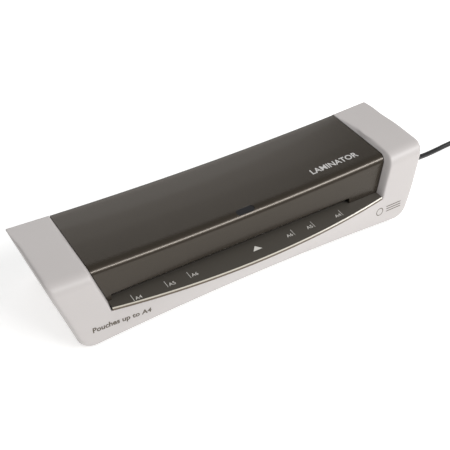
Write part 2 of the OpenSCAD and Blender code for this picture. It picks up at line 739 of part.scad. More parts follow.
module motor_bracket() color("silver") {
    difference() {
        along_x(bracket_x, motor_x) polygon(rounded([[-33, 8], [26, 8], [26, 20], [16, 40], [2, 62],
            [-20, 62], [-33, 56]], [4, 4, 6, 12, 4, 6, 3]));
        rod(bracket_x - 1, motor_x + 1, motor_at, 6);
        for (p = concat(screw_at, spacer_at)) rod(bracket_x - 1, motor_x + 1, p, 1.7, 32);
    }
}

module motor_spacers() color("gold") {
    for (p = spacer_at) difference() {
        rod(right_x + plate_t, bracket_x, p, 3, 48);
        rod(right_x, bracket_x + 1, p, 1.2, 32);
    }
}

module motor_screws() color("silver") {
    for (p = screw_at) {
        rod(motor_x + 0.8, motor_x + 2.6, p, 2.8, 32);
        rod(bracket_x - 1, motor_x + 1, p, 1.6, 32);
    }
}

idler_turn = mesh_turn(low_at, roller_teeth, 0, idler_at, idler_teeth);
pinion_turn = mesh_turn(idler_at, idler_teeth, idler_turn, motor_at, pinion_teeth);

module drive_pinion() color("ivory") {
    translate([gear_x, motor_y, motor_z]) rotate([90, 0, 90]) rotate([0, 0, pinion_turn])
        linear_extrude(gear_w) polygon(gear_pts(pinion_teeth));
    rod(gear_x, motor_x + 11, motor_at, 3.5);
}

module idler_gear() color("ivory") {
    difference() {
        translate([gear_x, idler_at[0], idler_at[1]]) rotate([90, 0, 90]) rotate([0, 0, idler_turn])
            linear_extrude(gear_w) polygon(gear_pts(idler_teeth));
        rod(gear_x - 1, gear_x + gear_w + 1, idler_at, 2.5 + run_fit);
    }
}

module idler_pin() color("silver") {
    rod(right_x, gear_x + gear_w + 0.9, idler_at, 2.5);
    rod(right_x + plate_t, gear_x - gap, idler_at, 4);
    rod(gear_x + gear_w + gap, gear_x + gear_w + 1.2, idler_at, 4);
}

cam_at = [release_y + cam_throw * cos(cam_lag), release_z - cam_throw * sin(cam_lag)];

module release_shaft() color("silver") {
    rod(lever_x - lever_t / 2, right_x + 7, [release_y, release_z], release_r);
    rod(left_x - plate_t - gap - 2 - cam_w, left_x - plate_t - gap - 1, cam_at, cam_r);
    rod(right_x + plate_t + gap + 1, right_x + plate_t + gap + 2 + cam_w, cam_at, cam_r);
}

module release_lever() color([0.15, 0.15, 0.15]) {
    x0 = lever_x - lever_t / 2;
    x1 = lever_x + lever_t / 2;
    difference() {
        union() {
            rod(x0, x1, [release_y, release_z], 6);
            translate([0, release_y, release_z]) rotate([lever_rest, 0, 0]) along_x(x0, x1)
                polygon(rounded([[0, -3.2], [lever_l, -3.2], [lever_l, 3.2], [0, 3.2]], [0, 3, 3, 0]));
        }
        rod(x0 - 1, x1 + 1, [release_y, release_z], release_r);
    }
}

// frame of the switch, its back inside the wall
module switch_body() color([0.1, 0.1, 0.1]) {
    translate([switch_x, rear_at(switch_z), switch_z]) rotate([rear_tilt, 0, 0]) {
        difference() {
            union() {
                translate([-10.5, 0, -7.5]) cube([21, 1.2, 15]);
                translate([-8.8, -14, -6.1]) cube([17.6, 14, 12.2]);
            }
            translate([-7.5, -6, -4.9]) cube([15, 20, 9.8]);
        }
        for (i = [-1:1]) translate([i * 5 - 0.4, -19, -2.2]) cube([0.8, 5, 4.4]);
    }
}

module switch_rocker() color([0.12, 0.12, 0.12]) {
    translate([switch_x, rear_at(switch_z), switch_z]) rotate([rear_tilt, 0, 0]) translate([0, -1, 0])
        rotate([0, 0, -rocker_turn / 2]) {
            translate([0, 0, -4.4]) linear_extrude(8.8)
                polygon([[-6.6, 0], [0, -3.6], [6.6, 0], [6.5, 2.2], [0, 1.2], [-6.5, 2.2]]);
            cylinder(r = 1, h = 9.4, center = true, $fn = 32);
        }
}

module circuit_board() color("seagreen") {
    difference() {
        box(board_x - board_t, board_x, -27, 23, 13, 59);
        for (p = board_hole_at) rod(board_x - 4, board_x + 1, p, 1.6, 32);
    }
}

board_hole_at = [[-22, 18], [-22, 54], [18, 18], [-3, 54]];

module board_spacers() color("ivory") {
    for (p = board_hole_at) difference() {
        rod(board_x, left_x - plate_t, p, 2.6, 32);
        rod(board_x - 1, left_x, p, 1.2, 32);
    }
}

module board_components() color([0.2, 0.25, 0.5]) {
    x = board_x - board_t;
    box(x - 10, x, -14, -2, 36, 52);
    box(x - 8, x, 2, 17, 40, 50);
    rod(x - 10, x, [-8, 25], 5, 48);
    rod(x - 9, x, [4, 22], 4, 48);
    box(x - 9, x, -26, -18, 24, 46);
    box(x - 3, x, 9, 19, 26, 34);
    for (i = [0:4]) rod(x - 2, x, [-1 + i * 4, 36], 1, 24);
}

// insulated wires from the cord and the switch to the board, the motor and the heaters
module wiring() color([0.75, 0.6, 0.1]) {
    wire_r = 0.9;
    low = floor_z + 2.6;
    tube([[relief_x - 9, exit_y, exit_z], [relief_x - 14, exit_y + 1, exit_z - 1], [152.4, 10, low + 3.6],
        [152.4, 24, low + 3.6], [switch_x - 5, 31, 22], [switch_x - 5, 33.4, 32], [switch_x - 5, 35.8, 37.6]],
        wire_r, 8);
    tube([[switch_x, 35.8, 37.6], [switch_x, 33.4, 32], [switch_x - 2, 33, 18], [150, 37, low + 1],
        [130, 38, low], [0, 38, low], [left_x, 38, low], [left_x - 15, 37, low + 1],
        [board_x - 6, 14, 14], [board_x - 6, 14, 25.6]], wire_r, 8);
    tube([[motor_x + 10, motor_y - 7, 11.5], [motor_x + 10, -24, low + 1],
        [motor_x + 4, -35.6, low], [90, -35.6, low], [0, -35.6, low], [left_x - 4, -35.6, low],
        [board_x - 6, -30, 16], [board_x - 6, -22, 23]], wire_r, 8);
}

module strain_relief() color([0.08, 0.08, 0.08]) {
    translate([relief_x, exit_y, exit_z]) rotate([0, 90, 0]) difference() {
        union() {
            rotate_extrude($fn = fine) polygon([[0, -9], [cord_r + 1.9, -9], [cord_r + 1.9, 0.6],
                [cord_r + 3.6, 0.6], [cord_r + 3.6, 2.8], [cord_r + 2, 3.6], [cord_r + 0.7, relief_l],
                [0, relief_l]]);
            for (i = [1:6]) translate([0, 0, 3 + i * 3.6])
                cylinder(r = cord_r + 2.1 - i * 0.18, h = 1.4, $fn = fine);
            translate([0, 0, -10.6]) cylinder(r = cord_r + 2.2, h = 2.4, $fn = fine);
        }
        translate([0, 0, -11]) cylinder(r = cord_r - 0.4, h = 10, $fn = fine);
    }
}

module power_cord() color([0.06, 0.06, 0.06]) tube(cord_route, cord_r, 10);

module cord_coil() color([0.06, 0.06, 0.06]) {
    w = coil_w / 2;
    translate([coil_at[0], coil_at[1], coil_z]) rotate_extrude($fn = fine) translate([coil_d / 2, 0])
        polygon([[-w, 2], [2 - w, 0], [w - 2, 0], [w, 2], [w, coil_h - 2], [w - 2, coil_h],
            [2 - w, coil_h], [-w, coil_h - 2]]);
}

module cord_tail() color([0.06, 0.06, 0.06]) tube(tail_route, cord_r, 10);

module cord_tie() color([0.85, 0.85, 0.85]) {
    w = coil_w / 2;
    translate([coil_at[0] - coil_d / 2, coil_at[1], 0]) difference() {
        translate([-w - 1.2, -2, 0]) cube([coil_w + 2.4, 4, coil_z + coil_h + 1]);
        translate([-w - 0.2, -3, coil_z]) cube([coil_w + 0.4, 6, coil_h]);
    }
}

module plug_body() color([0.06, 0.06, 0.06]) {
    translate(plug_at) rotate([90, 0, 0]) difference() {
        union() {
            cylinder(r1 = cord_r + 0.6, r2 = cord_r + 2, h = 14, $fn = fine);
            translate([0, 0, 12]) linear_extrude(24) polygon([[-12, 2], [-8, 6.8], [8, 6.8], [12, 2],
                [12, -2], [8, -6.8], [-8, -6.8], [-12, -2]]);
        }
        for (s = [-1, 1]) translate([s * 9.3, 0, 28]) cylinder(r = 2, h = 9, $fn = 48);
    }
}

module plug_pins() color("silver") {
    translate(plug_at) rotate([90, 0, 0]) for (s = [-1, 1]) translate([s * 9.3, 0, 28]) {
        cylinder(r = 2, h = 25, $fn = 48);
        translate([0, 0, 25]) cylinder(r1 = 2, r2 = 1.2, h = 2, $fn = 48);
    }
}

upper_casing();
top_panel();
entry_shelf();
rear_cover();
base_casing();
rubber_feet();
casing_screws();
indicator_window();
light_guide();
indicator_board();
left_side_plate();
right_side_plate();
tie_bars();
lower_bushes();
lower_roller_shaft();
lower_roller_sleeve();
lower_roller_gear();
lower_roller_clips();
bearing_blocks();
pressure_springs();
upper_roller_shaft();
upper_roller_sleeve();
upper_roller_gear();
upper_roller_clips();
lower_hot_shoe();
upper_hot_shoe();
heater_elements();
thermostat();
thermal_fuse();
heat_shield();
upper_entry_guide();
exit_guide();
upper_exit_guide();
gear_motor();
motor_bracket();
motor_spacers();
motor_screws();
drive_pinion();
idler_gear();
idler_pin();
release_shaft();
release_lever();
switch_body();
switch_rocker();
circuit_board();
board_components();
board_spacers();
wiring();
strain_relief();
power_cord();
cord_coil();
cord_tail();
cord_tie();
plug_body();
plug_pins();
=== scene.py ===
import bpy
import bmesh
import json
import math
import numpy as np
from mathutils import Matrix, Vector


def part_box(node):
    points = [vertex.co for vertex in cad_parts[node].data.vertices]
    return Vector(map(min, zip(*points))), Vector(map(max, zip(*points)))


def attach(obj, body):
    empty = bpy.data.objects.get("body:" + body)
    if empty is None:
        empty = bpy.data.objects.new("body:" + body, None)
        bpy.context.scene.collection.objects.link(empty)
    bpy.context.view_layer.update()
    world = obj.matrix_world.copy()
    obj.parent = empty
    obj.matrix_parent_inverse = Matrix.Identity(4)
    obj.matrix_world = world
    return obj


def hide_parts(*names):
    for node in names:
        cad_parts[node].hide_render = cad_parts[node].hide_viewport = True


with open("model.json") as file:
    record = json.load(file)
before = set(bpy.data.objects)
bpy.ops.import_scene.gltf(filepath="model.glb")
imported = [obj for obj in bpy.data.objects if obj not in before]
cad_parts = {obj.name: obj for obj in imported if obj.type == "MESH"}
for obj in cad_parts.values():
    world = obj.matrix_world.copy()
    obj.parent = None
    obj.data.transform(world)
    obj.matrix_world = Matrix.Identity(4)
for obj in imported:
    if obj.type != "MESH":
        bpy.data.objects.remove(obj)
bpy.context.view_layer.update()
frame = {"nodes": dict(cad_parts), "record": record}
mm = 0.001
print("frame loaded:", len(frame["nodes"]), "nodes")


# sRGB hex to the linear colour a shader wants
def paint(code):
    parts = [int(code[i:i + 2], 16) / 255 for i in (0, 2, 4)]
    lin = [p / 12.92 if p <= 0.04045 else ((p + 0.055) / 1.055) ** 2.4 for p in parts]
    return (*lin, 1.0)


# adds one node, sets its values and links its inputs
def addNode(tree, kind, links=None, values=None, **settings):
    node = tree.nodes.new(kind)
    for key, value in settings.items():
        setattr(node, key, value)
    for key, value in (values or {}).items():
        node.inputs[key].default_value = value
    for key, source in (links or {}).items():
        tree.links.new(source, node.inputs[key])
    return node


# a mesh piece from points in millimetres and faces, riding on a body
def makePiece(name, points, faces, material, body="housing", stands=(), angle=32, smooth=True):
    mesh = bpy.data.meshes.new(name)
    mesh.from_pydata((np.asarray(points, float) * mm).tolist(), [], [list(map(int, f)) for f in faces])
    work = bmesh.new()
    work.from_mesh(mesh)
    bmesh.ops.remove_doubles(work, verts=work.verts, dist=0.004 * mm)
    work.to_mesh(mesh)
    work.free()
    mesh.materials.append(material)
    piece = bpy.data.objects.new(name, mesh)
    bpy.context.scene.collection.objects.link(piece)
    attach(piece, body)
    if stands:
        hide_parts(*stands)
    if smooth:
        mesh.shade_smooth()
        mesh.set_sharp_from_angle(angle=math.radians(angle))
    return piece


# settles a piece's modifiers into its mesh, then marks its hard edges again
def settle(piece, angle=32):
    graph = bpy.context.evaluated_depsgraph_get()
    done = bpy.data.meshes.new_from_object(piece.evaluated_get(graph))
    piece.modifiers.clear()
    piece.data = done
    done.shade_smooth()
    done.set_sharp_from_angle(angle=math.radians(angle))


# gives a sheet its wall, inward from its points, by offsetting each point along its normal
def thicken(piece, wall):
    piece.modifiers.new("wall", "SOLIDIFY").thickness = wall * mm
    piece.modifiers["wall"].offset = -1
    piece.modifiers["wall"].use_quality_normals = True


# quads of a grid stored row by row, leaving out the cells where skip is true
def gridFaces(rows, cols, start=0, skip=None, flip=False):
    r, c = np.meshgrid(np.arange(rows - 1), np.arange(cols - 1), indexing="ij")
    keep = np.ones(r.shape, bool) if skip is None else ~skip
    a = (start + r * cols + c)[keep]
    quads = np.stack([a, a + 1, a + cols + 1, a + cols], 1)
    return quads[:, ::-1] if flip else quads


# points on an arc that rounds corner q between p and s: centre + r (cos t, sin t)
def cornerArc(p, q, s, r, count):
    p, q, s = map(np.array, (p, q, s))
    a = (p - q) / np.linalg.norm(p - q)
    b = (s - q) / np.linalg.norm(s - q)
    half = math.acos(np.clip(a @ b, -1, 1)) / 2
    centre = q + (a + b) / np.linalg.norm(a + b) * r / math.sin(half)
    first = q + a * r / math.tan(half) - centre
    turn = -np.sign(a[0] * b[1] - a[1] * b[0]) * (math.pi - 2 * half)
    t = math.atan2(first[1], first[0]) + turn * np.linspace(0, 1, count)
    return centre + r * np.stack([np.cos(t), np.sin(t)], 1)


# a path from start to end through rounded corners, with evenly filled straights
def roundedPath(start, corners, radii, end, arcCount=9, fill=8):
    ring = [start] + corners + [end]
    runs = [np.array([start], float)]
    for i, r in enumerate(radii):
        runs.append(cornerArc(ring[i], ring[i + 1], ring[i + 2], r, arcCount))
    runs.append(np.array([end], float))
    out = []
    for before, after in zip(runs[:-1], runs[1:]):
        out.append(before)
        t = np.linspace(0, 1, fill + 2)[1:-1, None]
        out.append(before[-1] * (1 - t) + after[0] * t)
    out.append(runs[-1])
    return np.concatenate(out)


# eases from 0 to 1: t squared times (3 - 2t)
def smoothStep(t):
    t = np.clip(t, 0, 1)
    return t * t * (3 - 2 * t)


view = dict(place=(-0.328, -0.5365, 0.559), yaw=31.26, down=40.23, lens=73.02)
cameraData = bpy.data.cameras.new("camera")
camera = bpy.data.objects.new("camera", cameraData)
bpy.context.scene.collection.objects.link(camera)
bpy.context.scene.camera = camera
camera.location = view["place"]
camera.rotation_euler = (math.radians(90 - view["down"]), 0, -math.radians(view["yaw"]))
cameraData.lens = view["lens"]
cameraData.sensor_width = 36
cameraData.clip_start = 0.01
cameraData.clip_end = 20

studio = dict(sky="FFFFFF", skyStrength=0.30, floor="F4F4F3", floorGlow=0.42,
              key=21.0, fill=4.5, back=6.5)
world = bpy.data.worlds.new("studio")
world.use_nodes = True
world.node_tree.nodes["Background"].inputs["Color"].default_value = paint(studio["sky"])
world.node_tree.nodes["Background"].inputs["Strength"].default_value = studio["skyStrength"]
bpy.context.scene.world = world
bpy.context.scene.view_settings.view_transform = "Standard"


# a rectangular or square area light that faces a point
def softLight(name, place, aim, power, size, sizeY=None):
    lamp = bpy.data.lights.new(name, "AREA")
    lamp.energy = power
    lamp.size = size
    if sizeY:
        lamp.shape = "RECTANGLE"
        lamp.size_y = sizeY
    holder = bpy.data.objects.new(name, lamp)
    bpy.context.scene.collection.objects.link(holder)
    holder.location = place
    way = Vector(aim) - Vector(place)
    holder.rotation_euler = way.to_track_quat("-Z", "Y").to_euler()
    return holder


softLight("keyLight", (0.76, -1.00, 1.02), (0.05, -0.03, 0.05), studio["key"], 1.5, 0.26)
softLight("fillLight", (-0.9, 0.1, 1.5), (0, 0, 0), studio["fill"], 0.9)
softLight("backCard", (0.30, 1.7, 1.02), (0, 0, 0.05), studio["back"], 1.9, 0.66)

floorMaterial = bpy.data.materials.new("paper sweep")
floorMaterial.use_nodes = True
floorShader = floorMaterial.node_tree.nodes["Principled BSDF"]
floorShader.inputs["Base Color"].default_value = paint(studio["floor"])
floorShader.inputs["Roughness"].default_value = 0.9
floorShader.inputs["Emission Color"].default_value = (1, 1, 1, 1)
floorShader.inputs["Emission Strength"].default_value = studio["floorGlow"]
floorMesh = bpy.data.meshes.new("floor")
reach = 9.0
floorMesh.from_pydata([(-reach, -reach, 0), (reach, -reach, 0), (reach, reach, 0), (-reach, reach, 0)],
                      [], [(0, 1, 2, 3)])
floorMesh.materials.append(floorMaterial)
floor = bpy.data.objects.new("floor", floorMesh)
bpy.context.scene.collection.objects.link(floor)
print("camera and lights set")


# moulded plastic: base colour with slow mottling, a fine spark texture in the bump,
# and roughness that wanders a little, as a tool's polish does
def mouldedPlastic(name, code, rough, grain=0.35, grainDepth=0.02, drift=0.04, coat=0.0, specular=0.5,
                   coarse=28.0, tint="FFFFFF"):
    material = bpy.data.materials.new(name)
    material.use_nodes = True
    tree = material.node_tree
    shader = tree.nodes["Principled BSDF"]
    place = addNode(tree, "ShaderNodeTexCoord").outputs["Object"]
    cloud = addNode(tree, "ShaderNodeTexNoise", {"Vector": place}, {"Scale": coarse, "Detail": 3.0})
    dark = tuple(c * (1 - drift) for c in paint(code)[:3]) + (1.0,)
    light = tuple(min(1.0, c * (1 + drift)) for c in paint(code)[:3]) + (1.0,)
    tone = addNode(tree, "ShaderNodeMix", {"Factor": cloud.outputs["Fac"]}, data_type="RGBA")
    tone.inputs[6].default_value = dark
    tone.inputs[7].default_value = light
    tree.links.new(tone.outputs[2], shader.inputs["Base Color"])
    polish = addNode(tree, "ShaderNodeMapRange", {"Value": cloud.outputs["Fac"]},
                     {"To Min": rough * 0.92, "To Max": rough * 1.08})
    tree.links.new(polish.outputs["Result"], shader.inputs["Roughness"])
    spark = addNode(tree, "ShaderNodeTexNoise", {"Vector": place},
                    {"Scale": 1 / (grain * mm), "Detail": 2.0, "Roughness": 0.6})
    bump = addNode(tree, "ShaderNodeBump", {"Height": spark.outputs["Fac"]},
                   {"Strength": 0.25, "Distance": grainDepth * mm})
    tree.links.new(bump.outputs["Normal"], shader.inputs["Normal"])
    shader.inputs["IOR"].default_value = 1.5
    shader.inputs["Coat Weight"].default_value = coat
    shader.inputs["Specular IOR Level"].default_value = specular
    shader.inputs["Specular Tint"].default_value = paint(tint)
    return material


# metal sheet or bar: brushed along X, with streaks some 0.2 mm wide
def workedMetal(name, code, rough, streak=0.25, along=40.0, depth=0.01):
    material = bpy.data.materials.new(name)
    material.use_nodes = True
    tree = material.node_tree
    shader = tree.nodes["Principled BSDF"]
    place = addNode(tree, "ShaderNodeTexCoord").outputs["Object"]
    stretch = addNode(tree, "ShaderNodeMapping", {"Vector": place}, {"Scale": (1 / along, 1, 1)})
    lines = addNode(tree, "ShaderNodeTexNoise", {"Vector": stretch.outputs["Vector"]},
                    {"Scale": 1 / (streak * mm), "Detail": 2.0})
    sheen = addNode(tree, "ShaderNodeMapRange", {"Value": lines.outputs["Fac"]},
                    {"To Min": rough * 0.8, "To Max": rough * 1.25})
    tree.links.new(sheen.outputs["Result"], shader.inputs["Roughness"])
    bump = addNode(tree, "ShaderNodeBump", {"Height": lines.outputs["Fac"]},
                   {"Strength": 0.2, "Distance": depth * mm})
    tree.links.new(bump.outputs["Normal"], shader.inputs["Normal"])
    blotch = addNode(tree, "ShaderNodeTexNoise", {"Vector": place}, {"Scale": 60.0, "Detail": 4.0})
    tone = addNode(tree, "ShaderNodeMix", {"Factor": blotch.outputs["Fac"]}, data_type="RGBA")
    tone.inputs[6].default_value = tuple(c * 0.9 for c in paint(code)[:3]) + (1.0,)
    tone.inputs[7].default_value = paint(code)
    tree.links.new(tone.outputs[2], shader.inputs["Base Color"])
    shader.inputs["Metallic"].default_value = 1.0
    return material


whiteAbs = mouldedPlastic("warm white ABS", "C0BBB9", 0.42, grain=0.5, grainDepth=0.015, drift=0.01)
greyAbs = mouldedPlastic("grey ABS base", "A9A7A5", 0.55, grain=0.6, drift=0.02)
# a metallic-flake lacquer on ABS: dark bronze grey, with a satin gloss and a fine flake
bronzeAbs = mouldedPlastic("bronze grey lacquered ABS", "2B261F", 0.26, grain=0.28, grainDepth=0.012,
                           drift=0.05, coat=0.12, coarse=60.0, tint="FFF2E4")
shelfAbs = mouldedPlastic("charcoal ABS", "4A4640", 0.4, grain=0.3, grainDepth=0.012, drift=0.04)
rearAbs = mouldedPlastic("charcoal textured ABS", "3F3B38", 0.5, grain=0.6, drift=0.03)
# warm brown for the shelf's front side: painted shade for the shadow on that narrow face; the side is really
# the shelf's own charcoal plastic
edgeShadePaint = mouldedPlastic("painted shade on shelf front side", "5A4C3C", 0.35, drift=0.03)
# pale colour for the shelf's bevel: a painted highlight for the light its chamfer catches; the bevel is
# really the shelf's own dark plastic
bevelHighlightPaint = mouldedPlastic("painted highlight on shelf bevel", "C9C3B6", 0.22, drift=0.02)
smokeAcrylic = mouldedPlastic("smoked acrylic", "17171A", 0.10, grainDepth=0.001, coat=0.6)
clearAcrylic = mouldedPlastic("clear acrylic", "E6ECEE", 0.12, grainDepth=0.001)
blackNylon = mouldedPlastic("black glass-filled nylon", "1B1B1B", 0.48, drift=0.06)
ivoryAcetal = mouldedPlastic("natural acetal", "E2DAC0", 0.4, drift=0.03)
siliconeRubber = mouldedPlastic("red silicone rubber", "A8452F", 0.7, grain=0.7, drift=0.05)
footRubber = mouldedPlastic("black rubber", "202020", 0.8, drift=0.05)
cordPvc = mouldedPlastic("black PVC", "141415", 0.42, grain=0.6, drift=0.08)
whitePrint = mouldedPlastic("white print", "D9D6D0", 0.5, grainDepth=0.001, drift=0.02)
silverPrint = mouldedPlastic("silver print", "C4C2C0", 0.38, grainDepth=0.001, drift=0.03)
umberPrint = mouldedPlastic("umber print", "564E42", 0.5, grainDepth=0.001, drift=0.03)
zincSteel = workedMetal("zinc plated steel", "B8BABD", 0.34)
groundSteel = workedMetal("ground steel", "C6C6C7", 0.22, streak=0.15)
aluminiumSheet = workedMetal("anodised aluminium", "C9CACB", 0.38)
brassBar = workedMetal("turned brass", "C9A052", 0.28)
nickelPlate = workedMetal("nickel plate", "CFCDC6", 0.15, streak=0.4)
motorCan = workedMetal("chromated motor can", "8F9294", 0.4)
heaterTape = mouldedPlastic("amber heater tape", "B98A3F", 0.3, drift=0.1)
solderMask = mouldedPlastic("green solder mask", "1E5B38", 0.3, grain=1.2, drift=0.12)
partsMix = mouldedPlastic("component bodies", "2C3450", 0.4, drift=0.3, coarse=220.0)
wireInsulation = mouldedPlastic("yellow insulation", "C9A227", 0.45, drift=0.06)
print("materials made")


lead = dict(diameter=5.0, exit=(199.35, 5.0, 13.0), coilAt=(335.0, -10.5), coilAcross=55.0,
            turns=7.25, tailEnd=(364.0, -64.0, 6.8))


# one line for the whole cord: down from the strain relief, along the floor, round the coil
# with each layer of turns beside and over the one before, then off along -Y to the plug
def cordPath(s):
    r = s["diameter"] / 2
    run = [s["exit"], (207.35, 5, 13), (215, 5.4, 12.4), (225, 6.6, 10.8), (236, 8.6, 8.4), (247, 11, 5.8),
           (258, 13.4, 3.8), (269, 15.2, 2.7), (280, 16.3, r), (295, 16.9, r), (313, 17, r)]
    turns = s["turns"]
    t = np.linspace(0, 1, int(turns * 40))
    angle = math.pi / 2 - 2 * math.pi * turns * t
    # turns fill three lanes across and three layers up, stepping smoothly between them
    step = turns * t
    lanes = np.array([0, -1, 1, 0, -1, 1, 0, -1, -1]) * (s["diameter"] + 0.12)
    layers = np.array([0, 0, 0, 1, 1, 1, 2, 2, 2]) * (s["diameter"] * 0.9)
    low = np.floor(step).astype(int)
    part = smoothStep((step - low - 0.72) / 0.28)
    across = lanes[low] * (1 - part) + lanes[low + 1] * part
    high = layers[low] * (1 - part) + layers[low + 1] * part
    radius = s["coilAcross"] / 2 + across
    cx, cy = s["coilAt"]
    coil = np.stack([cx + radius * np.cos(angle), cy + radius * np.sin(angle), r + high], 1)
    end = coil[-1]
    tail = [(end[0] + 0.3, end[1] - 8, end[2]), (end[0] + 1, end[1] - 18, max(r, end[2] - 3)),
            (364, -46, 5.2), (364, -55, 6.4), s["tailEnd"]]
    return np.concatenate([np.array(run, float), coil[1:], np.array(tail, float)])


# resamples a path on a Catmull-Rom curve so that its points are about `gap` apart
def evenPath(points, gap):
    p = np.concatenate([2 * points[:1] - points[1:2], points, 2 * points[-1:] - points[-2:-1]])
    t = np.linspace(0, 1, 13)[:-1, None]
    fine = np.concatenate([0.5 * ((2 * b) + (c - a) * t + (2 * a - 5 * b + 4 * c - d) * t ** 2
                                  + (3 * b - 3 * c + d - a) * t ** 3)
                           for a, b, c, d in zip(p[:-3], p[1:-2], p[2:-1], p[3:])] + [points[-1:]])
    length = np.concatenate([[0], np.cumsum(np.linalg.norm(np.diff(fine, axis=0), axis=1))])
    count = int(length[-1] / gap)
    at = np.linspace(0, length[-1], count)
    return np.stack([np.interp(at, length, fine[:, k]) for k in range(3)], 1), length[-1]


# tube: a ring of `sides` points round each path point, on a frame carried along it
def tubeMesh(path, radius, sides=14):
    way = np.gradient(path, axis=0)
    way /= np.linalg.norm(way, axis=1)[:, None]
    side = np.cross(way, [0, 0, 1.0])
    side /= np.maximum(np.linalg.norm(side, axis=1), 1e-6)[:, None]
    up = np.cross(side, way)
    a = np.linspace(0, 2 * math.pi, sides, endpoint=False)
    radius = np.broadcast_to(radius, len(path))
    ring = side[:, None] * np.cos(a)[None, :, None] + up[:, None] * np.sin(a)[None, :, None]
    points = (path[:, None] + ring * radius[:, None, None]).reshape(-1, 3)
    r, c = np.meshgrid(np.arange(len(path) - 1), np.arange(sides), indexing="ij")
    a0, b0 = (r * sides + c).ravel(), (r * sides + (c + 1) % sides).ravel()
    quads = np.stack([a0, b0, b0 + sides, a0 + sides], 1)
    last = (len(path) - 1) * sides
    caps = [list(range(sides))[::-1], [last + k for k in range(sides)]]
    return points, [list(q) for q in quads] + caps


cordLine, cordLength = evenPath(cordPath(lead), 2.2)
points, faces = tubeMesh(cordLine, lead["diameter"] / 2)
cordPiece = makePiece("mainsCord", points, faces, cordPvc, stands=("power_cord", "cord_coil", "cord_tail"))
print("cord laid:", round(cordLength), "mm")


shell = dict(halfTop=187.5, height=74.8, base=4.0, lean=math.tan(math.radians(16.2)), sag=5.5, arch=5.5,
             footRound=12.0, edgeRound=4.2, wall=2.2, archHalf=159.5,
             lipTop=32.5, lipBack=0.9, openHalf=148.0, openTop=71.1)
lip = dict(front=-62.0, bow=12.8, half=137.66, top=35.5)
lip["radius"] = (lip["half"] ** 2 + lip["bow"] ** 2) / (2 * lip["bow"])
slot = dict(left=-134.0, right=106.0, top=40.5)
faceJoin = 45.0     # height at which the front face hands over to the rounded path


# how far forward the frame's front face stands at height z: a line plus a shallow parabola
def frontFace(z):
    return -50.5 + 0.0654 * (z - 4) + 0.00162 * (z - 4) * (z - 30)


# the same for the panel's front face: a leaning line
def panelFace(z):
    return -41.6 + 0.1694 * (z - 28)


# half width of the frame's opening at height z, leaning as the ends do
def openHalf(z):
    return shell["openHalf"] - (shell["openTop"] - z) * shell["lean"]


# half width of the end at height z: a leaning line that a circle rounds at the foot
def endHalf(z):
    k, r = shell["lean"], shell["footRound"]
    line = shell["halfTop"] - (shell["height"] - z) * k
    centreZ = shell["base"] + r
    centreX = shell["halfTop"] - (shell["height"] - centreZ) * k - r * math.sqrt(1 + k * k)
    touch = centreZ - r * k / math.sqrt(1 + k * k)
    arc = centreX + np.sqrt(np.maximum(r * r - (centreZ - np.minimum(z, centreZ)) ** 2, 0))
    return np.where(z < touch, arc, line)


# the top's fall at x: a parabola across the machine, faded out towards the shelf and the foot
def sagAt(x, z, front):
    fade = np.where(front, smoothStep((z - 36) / 30), smoothStep((z - 4) / 10))
    return shell["sag"] * (1 - (x / shell["halfTop"]) ** 2) * fade


# the shelf's front edge at x: a circle through its middle and its two corners
def lipArc(x):
    return lip["front"] + lip["radius"] - np.sqrt(lip["radius"] ** 2 - x ** 2)


# how far the face bows out at x: the shelf's arc less the flat face, eased where they cross,
# full at the lip's top, nothing at its foot, dying out above it
def bowAt(x, z, foot):
    gap = frontFace(shell["lipTop"]) - (lipArc(x) + shell["lipBack"])
    out = 0.5 * (gap + np.sqrt(gap * gap + 1.4))
    share = np.where(z <= shell["lipTop"], (z - foot) / (shell["lipTop"] - foot),
                     np.exp(-((z - shell["lipTop"]) / 7) ** 2))
    return out * np.clip(share, 0, 1)


# height of the foot's arch at x: a parabola, level with the base beyond its ends
def footAt(x):
    return shell["base"] + shell["arch"] * np.clip(1 - (x / shell["archHalf"]) ** 2, 0, 1)


# unit normals of a side profile: its direction turned a quarter turn
def outwardNormals(path):
    way = np.gradient(path, axis=0)
    way /= np.linalg.norm(way, axis=1)[:, None]
    return np.stack([-way[:, 1], way[:, 0]], 1)


# side profiles as (y, z) from the shelf's level, over the top and down the rear; both have the
# same number of points, so that a step wall can be ruled between them
frontRows = np.linspace(shell["lipTop"], faceJoin, 9)[:-1]
shellSide = np.concatenate([
    np.stack([frontFace(frontRows), frontRows], 1),
    roundedPath((frontFace(faceJoin), faceJoin), [(-42.3, 74.0), (0, 74.8), (46.8, 71.2), (62.1, 24)],
                [13, 250, 3, 30], (60.9, shell["base"]))])
panelSide = np.concatenate([
    np.stack([panelFace(frontRows), frontRows], 1),
    roundedPath((panelFace(faceJoin), faceJoin), [(-34.3, 71.1), (0, 71.3), (46.6, 71.2), (61.9, 24)],
                [8, 250, 3, 30], (60.7, shell["base"]))])
footArc = np.linspace(0, math.radians(73.8), 9)
footRows = shell["base"] + shell["footRound"] * (1 - np.cos(footArc))
lowRows = np.concatenate([footRows, np.linspace(footRows[-1], shell["lipTop"], 10)[1:]])
isFront = shellSide[:, 0] < -20

